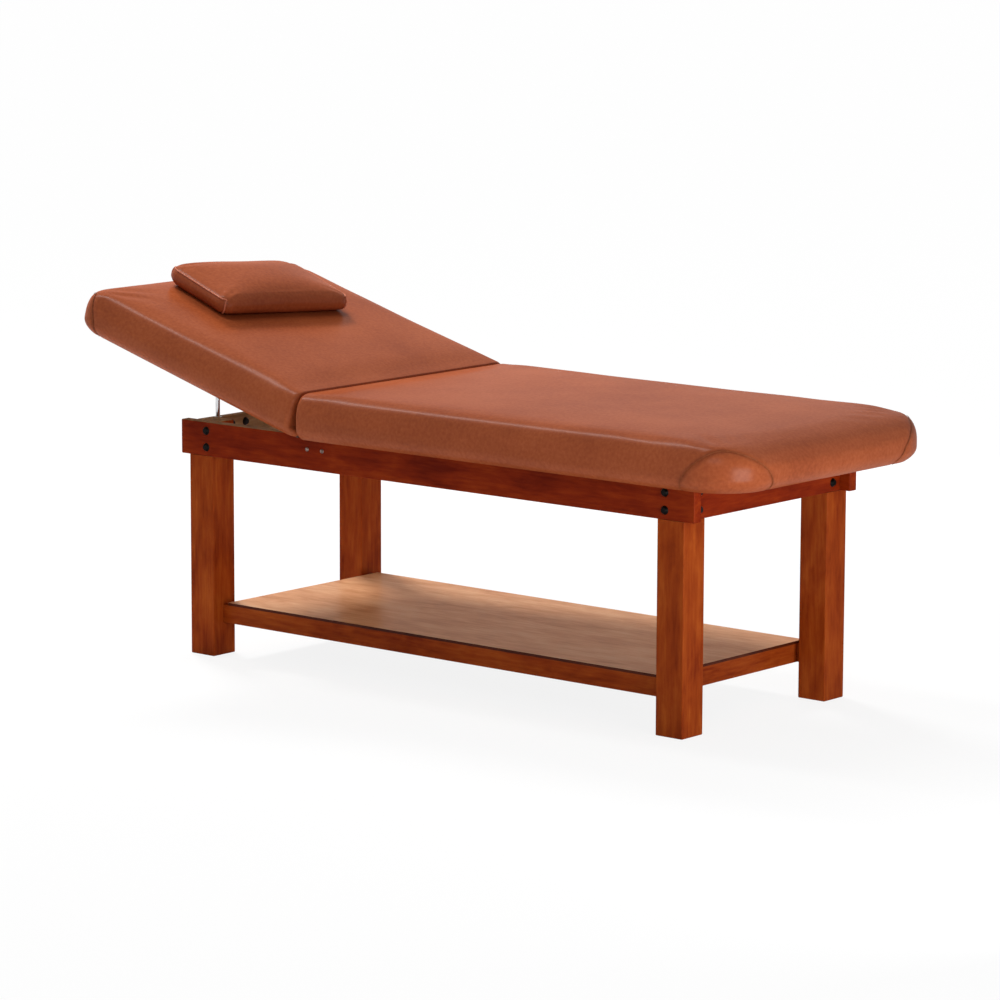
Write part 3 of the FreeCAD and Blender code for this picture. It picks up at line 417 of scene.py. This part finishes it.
def smooth_mesh(name, points, faces, weld):
    """A smoothly shaded mesh with its normals outward, its doubled points joined where weld is set."""
    mesh = bpy.data.meshes.new(name)
    mesh.from_pydata(points, [], faces)
    work = bmesh.new()
    work.from_mesh(mesh)
    if weld:
        bmesh.ops.remove_doubles(work, verts=work.verts, dist=0.05 * MM)
        bmesh.ops.dissolve_degenerate(work, edges=work.edges, dist=0.01 * MM)
    bmesh.ops.recalc_face_normals(work, faces=work.faces)
    work.to_mesh(mesh)
    work.free()
    mesh.polygons.foreach_set("use_smooth", [True] * len(mesh.polygons))
    return mesh


def closed_mesh(name, rows):
    """A mesh of quads through the rows, closed along its first and last row."""
    count = len(rows[0])
    faces = []
    for row in range(len(rows) - 1):
        for column in range(count):
            following = (column + 1) % count
            faces.append((row * count + column, row * count + following,
                          (row + 1) * count + following, (row + 1) * count + column))
    return smooth_mesh(name, np.concatenate(rows).tolist(), faces, weld=True)


def piece(name, mesh, finish):
    item = bpy.data.objects.new(name, mesh)
    bpy.context.scene.collection.objects.link(item)
    mesh.materials.clear()
    mesh.materials.append(finish)
    return item


def vertex_array(mesh):
    places = np.empty(len(mesh.vertices) * 3)
    mesh.vertices.foreach_get("co", places)
    return places.reshape(-1, 3)


def normal_array(mesh):
    normals = np.empty(len(mesh.vertices) * 3)
    mesh.vertex_normals.foreach_get("vector", normals)
    return normals.reshape(-1, 3)


def settle(mesh, freedom, depth, wave):
    """Soft unevenness of the stuffing under the cover."""
    places = vertex_array(mesh)
    heights = np.array([noise.noise(Vector(place / wave)) for place in places])
    places += normal_array(mesh) * (heights * depth * freedom(places))[:, None]
    mesh.vertices.foreach_set("co", places.ravel())
    mesh.update()


FAR = 1.0
BATCH = 2000


def gap_to_lines(places, lines, reach):
    """Distance from each place to the nearest of the lines, or FAR where it is further than the reach."""
    nearest = np.full(len(places), FAR)
    for line in lines:
        low, high = line.min(0) - reach, line.max(0) + reach
        close = np.where(np.all((places > low) & (places < high), axis=1))[0]
        for start in range(0, len(close), BATCH):
            some = close[start:start + BATCH]
            gaps = np.linalg.norm(places[some, None, :] - line[None, :, :], axis=2).min(1)
            nearest[some] = np.minimum(nearest[some], gaps)
    return nearest


CLOTH_FRAMES = 20
# The cover takes its moves from this many points of the blown-up copy, weighed by their distance
MOVE_POINTS, MOVE_SPREAD = 14, 1.3


def stuff(mesh, freedom, lines, voxel, pressure, cap):
    """Cloth simulation of the stuffed cover: a remeshed copy is blown up against its held hem and seams, and
    the cover takes over the copy's moves, up to the cap. Freedom gives, for places, 0 where the cover is held
    and 1 where it is free."""
    scene = bpy.context.scene
    copy = bpy.data.objects.new("stuffed_copy", mesh.copy())
    scene.collection.objects.link(copy)
    remesh = copy.modifiers.new("remesh", "REMESH")
    remesh.mode, remesh.voxel_size = "VOXEL", voxel
    skin = bpy.data.meshes.new_from_object(copy.evaluated_get(bpy.context.evaluated_depsgraph_get()))
    copy.modifiers.clear()
    copy.data = skin
    before = vertex_array(skin)
    held = (freedom(before) < 0.05) | (gap_to_lines(before, lines, voxel) < 0.7 * voxel)
    copy.vertex_groups.new(name="held").add(np.where(held)[0].tolist(), 1.0, "REPLACE")
    cloth = copy.modifiers.new("cloth", "CLOTH")
    cloth.settings.vertex_group_mass = "held"
    cloth.settings.use_pressure = True
    cloth.settings.uniform_pressure_force = pressure
    cloth.settings.effector_weights.gravity = 0
    cloth.collision_settings.use_collision = False
    cloth.point_cache.frame_start, cloth.point_cache.frame_end = 1, CLOTH_FRAMES
    for step in range(1, CLOTH_FRAMES + 1):
        scene.frame_set(step)
    blown = copy.evaluated_get(bpy.context.evaluated_depsgraph_get()).to_mesh()
    moves = vertex_array(blown) - before
    lengths = np.linalg.norm(moves, axis=1)
    moves *= (cap * np.tanh(lengths / cap) / np.maximum(lengths, 1e-9))[:, None]
    tree = KDTree(len(before))
    for index, place in enumerate(before):
        tree.insert(place, index)
    tree.balance()
    places = vertex_array(mesh)
    taken = np.zeros_like(places)
    for index, place in enumerate(places):
        near = tree.find_n(place, MOVE_POINTS)
        shares = np.array([math.exp(-(gap / (MOVE_SPREAD * voxel)) ** 2) for point, number, gap in near])
        some = moves[[number for point, number, gap in near]]
        taken[index] = (some * shares[:, None]).sum(0) / shares.sum()
    places += taken * freedom(places)[:, None]
    mesh.vertices.foreach_set("co", places.ravel())
    mesh.update()
    bpy.data.objects.remove(copy)
    scene.frame_set(1)


def press_seams(mesh, lines, width, depth, painted_shade_share):
    """Draws the cover in along seam lines and paints shade there, darkening the cover's colour; a line is an
    (n, 3) array of close points.
    """
    places = vertex_array(mesh)
    nearest = gap_to_lines(places, lines, 3 * width)
    press = np.exp(-(nearest / width) ** 2)
    places -= normal_array(mesh) * (press * depth)[:, None]
    mesh.vertices.foreach_set("co", places.ravel())
    # Painted shade: the seam attribute darkens the cover's colour in the pressed groove
    painted_shade = mesh.attributes.new("seam", "FLOAT", "POINT")
    painted_shade.data.foreach_set("value", press * painted_shade_share)
    mesh.update()


def on_cover(mesh, line):
    """The line's points laid on the nearest points of the stuffed cover."""
    cover = BVHTree.FromPolygons([vertex.co for vertex in mesh.vertices],
                                 [polygon.vertices for polygon in mesh.polygons])
    return np.array([cover.find_nearest(Vector(point))[0] for point in line])


CORD_SIDES = 8


def seam_cord(name, lines, radius, finish):
    """The raised edge of sewn seams: a thin closed tube along each line of points."""
    points, faces = [], []
    sides = CORD_SIDES
    for line in lines:
        first = len(points)
        for index, place in enumerate(line):
            ahead = Vector(line[min(index + 1, len(line) - 1)] - line[max(index - 1, 0)]).normalized()
            if index == 0:
                across = ahead.orthogonal()
            across = (across - ahead * across.dot(ahead)).normalized()
            up = ahead.cross(across)
            for side in range(sides):
                angle = 2 * math.pi * side / sides
                points.append(Vector(place) + (across * math.cos(angle) + up * math.sin(angle)) * radius)
        for index in range(len(line) - 1):
            for side in range(sides):
                here, following = first + index * sides, (side + 1) % sides
                faces.append((here + side, here + following, here + sides + following, here + sides + side))
        faces.append(tuple(range(first, first + sides))[::-1])
        faces.append(tuple(range(len(points) - sides, len(points))))
    return piece(name, smooth_mesh(name, points, faces, weld=False), finish)


LEATHER_COVER = 0.8 * MM
# The head's hem stays a little inside its board, clear of the rails that the board lies on when flat
HEAD_HEM = -0.3 * MM
main_low, main_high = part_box("main_pad")
main_board_low, main_board_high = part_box("main_board")
head_low, head_high = flat_box("head_pad")
head_board_low, head_board_high = flat_box("head_board")
BOARD_THICK = main_board_high.z - main_board_low.z
# The top's rise to its middle, and the room left for the simulation's swelling
PAD_CROWN, PAD_FLATNESS, PAD_SWELL = 6 * MM, 4, 2 * MM
# The drawn-in foot of the sides, its height and the hem's width under the board
PAD_TUCK, PAD_BULGE, PAD_HEM = 22 * MM, 30 * MM, 30 * MM
# The rolled edge of the top: its height, and its width at the sides, the joint and each free end
RIM_DROP, RIM_REACH, JOINT_RIM = 58 * MM, 40 * MM, 8 * MM
MAIN_END_RIM, HEAD_END_RIM = 72 * MM, 42 * MM
MAIN_FULLNESS, HEAD_FULLNESS = 2.4, 2.2
JOINT_CORNER, MAIN_CORNER, HEAD_CORNER = 14 * MM, 125 * MM, 64 * MM
EDGE_STEP, WRAP_BLEND = 4 * MM, 14 * MM
TUCK_CURVE = 2.2


def pad_profile(low, rim, board_reach, hem, end_reach, fullness):
    """From the cover's hem under the board, round the board's edge and the foam, to the rim of the top.
    At the joint end the cover wraps the board's edge, which stands further out than the foam."""
    under = low - hem
    wrapped = -board_reach - LEATHER_COVER
    levels = [(low + BOARD_THICK / 2, PAD_TUCK + PAD_HEM, EDGE_STEP),
              (under, PAD_TUCK + PAD_HEM, EDGE_STEP),
              (under, PAD_TUCK + 3 * MM, wrapped + EDGE_STEP),
              (low, PAD_TUCK, wrapped)]
    for share in np.linspace(0, 1, 13)[1:]:
        rise = PAD_BULGE * share
        wrap = wrapped * (1 - smooth((rise - BOARD_THICK) / WRAP_BLEND))
        levels.append((low + rise, PAD_TUCK * (1 - share) ** TUCK_CURVE, wrap))
    shoulder = rim - RIM_DROP
    for height in np.linspace(low + PAD_BULGE, shoulder, 4)[1:-1]:
        levels.append((height, 0.0, 0.0))
    rows = [(height, side, joint, side) for height, side, joint in levels]
    for angle in np.linspace(0, QUARTER, 26):
        rise = math.sin(angle) ** (2 / fullness)
        bow = 1 - max(math.cos(angle), 0.0) ** (2 / fullness)
        end_bow = 1 - math.sqrt(max(1 - rise ** 2, 0.0))
        rows.append((shoulder + RIM_DROP * rise, RIM_REACH * bow, JOINT_RIM * bow, end_reach * end_bow))
    return rows


main_profile = pad_profile(FRAME_TOP, main_high.z - PAD_CROWN - PAD_SWELL, main_low.x - main_board_low.x,
                           LEATHER_COVER, MAIN_END_RIM, MAIN_FULLNESS)
main_shape = Pad(main_low.x, main_high.x - PAD_SWELL, main_high.y - PAD_SWELL, JOINT_CORNER, MAIN_CORNER,
                 main_profile, PAD_CROWN, PAD_FLATNESS)
head_profile = pad_profile(FRAME_TOP, head_high.z - PAD_CROWN - PAD_SWELL, head_board_high.x - head_high.x,
                           HEAD_HEM, HEAD_END_RIM, HEAD_FULLNESS)
head_shape = Pad(head_high.x, head_low.x + PAD_SWELL, head_high.y - PAD_SWELL, JOINT_CORNER, HEAD_CORNER,
                 head_profile, PAD_CROWN, PAD_FLATNESS)
HINGE_REACH, HINGE_BLEND = 16 * MM, 14 * MM


def lift_joint_edge(rows, shape):
    """At the joint end the hinges lie under the board, so the cover's hem stays inside the board there."""
    inside = FRAME_TOP + BOARD_THICK / 2
    for row in rows:
        from_joint = np.abs(row[:, 0] - shape.joint_x)
        kept = smooth((from_joint - HINGE_REACH) / HINGE_BLEND)
        row[:, 2] = np.where(row[:, 2] < FRAME_TOP, inside + (row[:, 2] - inside) * kept, row[:, 2])
    return rows


PANEL_RISE, PANEL_ARCH, PANEL_STEPS = 88 * MM, 0.7, 121


def corner_panel_line(shape, side, half_span):
    """The arched seam of the sewn panel at a free corner."""
    line = []
    for distance in np.linspace(-half_span, half_span, PANEL_STEPS):
        height = FRAME_TOP + PANEL_RISE * (1 - (distance / half_span) ** 2) ** PANEL_ARCH
        line.append(shape.on_corner(side, distance, height))
    return np.array(line)


def soft_piece(item, body, node):
    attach(item, body)
    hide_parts(node)


# How far from the board and from the joint the cover comes free
BOARD_BLEND, JOINT_HELD, JOINT_BLEND = 16 * MM, 4 * MM, 90 * MM
PAD_VOXEL, PAD_PRESSURE, PAD_CAP = 8 * MM, 1.5, 4 * MM
PAD_UNEVEN, PAD_WAVE = 0.6 * MM, 160 * MM
# The seams' width and depth, the share of painted shade along them, and the cord's radius
PAD_SEAM_WIDTH, PAD_SEAM_DEPTH, PAD_SEAM_PAINTED_SHADE, PAD_SEAM_RADIUS = 4.5 * MM, 1.6 * MM, 0.3, 0.7 * MM


def build_pad(name, shape, body, node, panel_span, place):
    """A stuffed pad with its two sewn corner panels, made flat and then put in place."""
    mesh = closed_mesh(name, lift_joint_edge(shape.rows(), shape))
    lines = [corner_panel_line(shape, side, panel_span) for side in (-1, 1)]

    def freedom(places):
        """Held at the board and at the joint end, where the two pads come close."""
        over_board = smooth((places[:, 2] - FRAME_TOP - BOARD_THICK) / BOARD_BLEND)
        return over_board * smooth((np.abs(places[:, 0] - shape.joint_x) - JOINT_HELD) / JOINT_BLEND)

    stuff(mesh, freedom, lines, PAD_VOXEL, PAD_PRESSURE, PAD_CAP)
    settle(mesh, freedom, PAD_UNEVEN, PAD_WAVE)
    lines = [on_cover(mesh, line) for line in lines]
    press_seams(mesh, lines, PAD_SEAM_WIDTH, PAD_SEAM_DEPTH, PAD_SEAM_PAINTED_SHADE)
    pad = piece(name, mesh, brown_leatherette)
    threads = seam_cord(f"{node}_corner_seams", lines, PAD_SEAM_RADIUS, seam_leather)
    for item in (mesh, threads.data):
        item.transform(place)
    soft_piece(pad, body, node)
    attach(threads, body)


build_pad("main_pad_cover", main_shape, "frame", "main_pad", 118 * MM, Matrix.Identity(4))
build_pad("head_pad_cover", head_shape, "head_section", "head_pad", 58 * MM, RAISE_HEAD)

# Pillow
pillow_low, pillow_high = flat_box("pillow")
pillow_middle = (pillow_low + pillow_high) / 2
PILLOW_SKEW = math.radians(-10)
PILLOW_PLACE = (RAISE_HEAD @ Matrix.Translation((pillow_middle.x, pillow_middle.y, pillow_low.z))
                @ Matrix.Rotation(PILLOW_SKEW, 4, "Z"))
PILLOW_DEPTH, PILLOW_WIDTH, PILLOW_RIM, PILLOW_CROWN = 240 * MM, 364 * MM, 49 * MM, 13 * MM
PILLOW_BULGE, PILLOW_FOLD = 20 * MM, 25 * MM
# Insets of the pillow's end panels, front and back: at the drawn-in base and across the folded top edge
PILLOW_TUCK = (18 * MM, 28 * MM, 14 * MM)
PILLOW_BOW = (26 * MM, 24 * MM, 34 * MM)
FRONT_CORNER, BACK_CORNER, PILLOW_FLATNESS = 30 * MM, 48 * MM, 2.4
# The welt runs this many rows below the top's rim, and starts this many above the base
WELT_FROM_RIM, WELT_FROM_BASE = 10, 2
PILLOW_VOXEL, PILLOW_PRESSURE, PILLOW_CAP = 5 * MM, 6.0, 14 * MM
PILLOW_UNEVEN, PILLOW_WAVE = 1.2 * MM, 90 * MM
# The welts' width and depth, the share of painted shade along them, and the tube's radius
WELT_WIDTH, WELT_DEPTH, WELT_PAINTED_SHADE, WELT_RADIUS = 5 * MM, 0.6 * MM, 0.1, 2.0 * MM
LYING_HELD, LYING_BLEND = 1 * MM, 8 * MM


def pillow_profile():
    """Drawn-in base, upright end panels with a tight sewn edge, and a softer fold along the front and back."""
    levels = []
    for share in np.linspace(0, 1, 12):
        tuck = (1 - share) ** TUCK_CURVE
        levels.append((PILLOW_BULGE * share, *(inset * tuck for inset in PILLOW_TUCK)))
    shoulder = PILLOW_RIM - PILLOW_FOLD
    levels.append(((PILLOW_BULGE + shoulder) / 2, 0.0, 0.0, 0.0))
    for angle in np.linspace(0, QUARTER, 16):
        bow = 1 - math.cos(angle)
        levels.append((shoulder + PILLOW_FOLD * math.sin(angle), *(inset * bow for inset in PILLOW_BOW)))
    return levels


def end_welts(shape, rows):
    """Seam lines round the pillow's two end panels: up the front edge, along the top and down the back."""
    sewn = len(shape.profile) - WELT_FROM_RIM
    near_front, near_back = -CORNER_STEPS // 2, SIDE_STEPS + CORNER_STEPS // 2
    far_back = SIDE_STEPS + CORNER_STEPS + END_STEPS + CORNER_STEPS // 2
    far_front = far_back + CORNER_STEPS + SIDE_STEPS
    lines = []
    for start, finish in ((near_front, near_back), (far_back, far_front)):
        up = [rows[level][start] for level in range(WELT_FROM_BASE, sewn)]
        along = [rows[sewn][column] for column in range(start, finish + 1)]
        down = [rows[level][finish] for level in range(sewn - 1, WELT_FROM_BASE - 1, -1)]
        lines.append(np.array(up + along + down))
    return lines


pillow_shape = Pad(PILLOW_DEPTH / 2, -PILLOW_DEPTH / 2, PILLOW_WIDTH / 2, FRONT_CORNER, BACK_CORNER,
                   pillow_profile(), PILLOW_CROWN, PILLOW_FLATNESS)
pillow_mesh = closed_mesh("pillow_cover", pillow_shape.rows())
pillow_lines = end_welts(pillow_shape, [pillow_shape.row(*level) for level in pillow_shape.profile])


def pillow_freedom(places):
    """Held only where the pillow lies on the pad."""
    return smooth((places[:, 2] - LYING_HELD) / LYING_BLEND)


stuff(pillow_mesh, pillow_freedom, pillow_lines, PILLOW_VOXEL, PILLOW_PRESSURE, PILLOW_CAP)
settle(pillow_mesh, pillow_freedom, PILLOW_UNEVEN, PILLOW_WAVE)
pillow_lines = [on_cover(pillow_mesh, line) for line in pillow_lines]
press_seams(pillow_mesh, pillow_lines, WELT_WIDTH, WELT_DEPTH, WELT_PAINTED_SHADE)
# The welt tube's paler colour is a painted highlight along the pillow's sewn edges
pillow_welts = seam_cord("pillow_end_welts", pillow_lines, WELT_RADIUS, welt_leather_painted_highlight)
for mesh in (pillow_mesh, pillow_welts.data):
    mesh.transform(PILLOW_PLACE)
soft_piece(piece("pillow_cover", pillow_mesh, brown_leatherette), "pillow", "pillow")
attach(pillow_welts, "pillow")

# Floor, light and camera
WHITE = linear("FFFFFF")


def seen_background(tree):
    """1 for rays that see the background directly, in a mirror or through glass."""
    path = add(tree, "ShaderNodeLightPath")
    either = add(tree, "ShaderNodeMath", {0: path.outputs["Is Camera Ray"], 1: path.outputs["Is Glossy Ray"]},
                 operation="MAXIMUM")
    return add(tree, "ShaderNodeMath", {0: either.outputs[0], 1: path.outputs["Is Transmission Ray"]},
               operation="MAXIMUM").outputs[0]


def pale_floor():
    """A matt white sweep, which shows white with the object's soft shadow."""
    material, tree, shader, place = new_material("white_paper_sweep")
    shader.inputs["Base Color"].default_value = linear("F2F2F2")
    shader.inputs["Roughness"].default_value = 0.9
    glow = add(tree, "ShaderNodeEmission", {"Color": WHITE, "Strength": 1.0})
    away = add(tree, "ShaderNodeVectorMath", {0: place}, operation="LENGTH")
    white_share = add(tree, "ShaderNodeMapRange", {"Value": away.outputs["Value"], "From Min": 1.2,
                                                   "From Max": 6.0, "To Min": 0.87, "To Max": 0.99})
    share = add(tree, "ShaderNodeMath", {0: seen_background(tree), 1: white_share.outputs["Result"]},
                operation="MULTIPLY")
    mix = add(tree, "ShaderNodeMixShader", {"Fac": share.outputs[0], 1: shader.outputs["BSDF"],
                                            2: glow.outputs["Emission"]})
    tree.links.new(mix.outputs["Shader"], tree.nodes["Material Output"].inputs["Surface"])
    return material


# Metres to each side, so that the floor fills the picture from a low camera
FLOOR_REACH = 90
floor_mesh = bpy.data.meshes.new("studio_floor")
floor_corners = [(across * FLOOR_REACH, deep * FLOOR_REACH, 0)
                 for across, deep in ((-1, -1), (1, -1), (1, 1), (-1, 1))]
floor_mesh.from_pydata(floor_corners, [], [(0, 1, 2, 3)])
piece("studio_floor", floor_mesh, pale_floor())

# A dim sky for light, seen as white
SKY_LIGHT = 0.18
world = bpy.data.worlds.new("studio")
bpy.context.scene.world = world
world.use_nodes = True
sky = world.node_tree
sky_level = add(sky, "ShaderNodeMapRange", {"Value": seen_background(sky), "To Min": SKY_LIGHT, "To Max": 1.0})
sky.nodes["Background"].inputs["Color"].default_value = WHITE
sky.links.new(sky_level.outputs["Result"], sky.nodes["Background"].inputs["Strength"])


def softbox(name, place, aim, width, height, power, glare=True):
    """A rectangular lamp of a width and height in metres and a power in watts. Without glare it gives light
    but is not seen in reflections."""
    lamp = bpy.data.lights.new(name, "AREA")
    lamp.shape = "RECTANGLE"
    lamp.size, lamp.size_y, lamp.energy = width, height, power
    item = bpy.data.objects.new(name, lamp)
    item.location = place
    item.rotation_euler = (Vector(aim) - Vector(place)).to_track_quat("-Z", "Y").to_euler()
    item.visible_glossy = glare
    bpy.context.scene.collection.objects.link(item)


BED_MIDDLE = (0.1, 0.0, 0.5)
# The foot end's light, the key from behind the head, the rims' highlight, a fill from the near side, and a low
# light for the shelf
softbox("foot_key", (2.4, -0.6, 0.40), (0.7, 0.0, 0.25), 1.0, 0.7, 19)
softbox("back_key", (-5.2, 2.6, 5.4), BED_MIDDLE, 2.0, 1.0, 540, glare=False)
softbox("rim_strip", (-2.9, -0.4, 5.6), BED_MIDDLE, 0.8, 4.8, 175)
softbox("near_fill", (2.4, -3.5, 2.5), BED_MIDDLE, 2.0, 1.6, 26)
softbox("low_back", (-1.6, 2.8, 0.8), (0.0, 0.0, 0.1), 1.6, 0.8, 48, glare=False)

# The camera as solved from the frame's corners in the photo
CAMERA_PLACE = (6.1007, -7.2736, 1.9509)
CAMERA_YAW, CAMERA_PITCH, CAMERA_ROLL = math.radians(39.90), math.radians(-9.376), math.radians(0.2)
FOCAL_PIXELS, FRAME_PIXELS, SENSOR = 4383.9, 1000, 36
lens = bpy.data.cameras.new("photo_camera")
lens.sensor_width = SENSOR
lens.lens = FOCAL_PIXELS / FRAME_PIXELS * SENSOR
lens.clip_end = 300
camera = bpy.data.objects.new("photo_camera", lens)
aim = Euler((math.pi / 2 + CAMERA_PITCH, 0, CAMERA_YAW)).to_matrix() @ Matrix.Rotation(CAMERA_ROLL, 3, "Z")
camera.matrix_world = Matrix.Translation(CAMERA_PLACE) @ aim.to_4x4()
bpy.context.scene.collection.objects.link(camera)
bpy.context.scene.camera = camera
bpy.context.scene.view_settings.view_transform = "Standard"
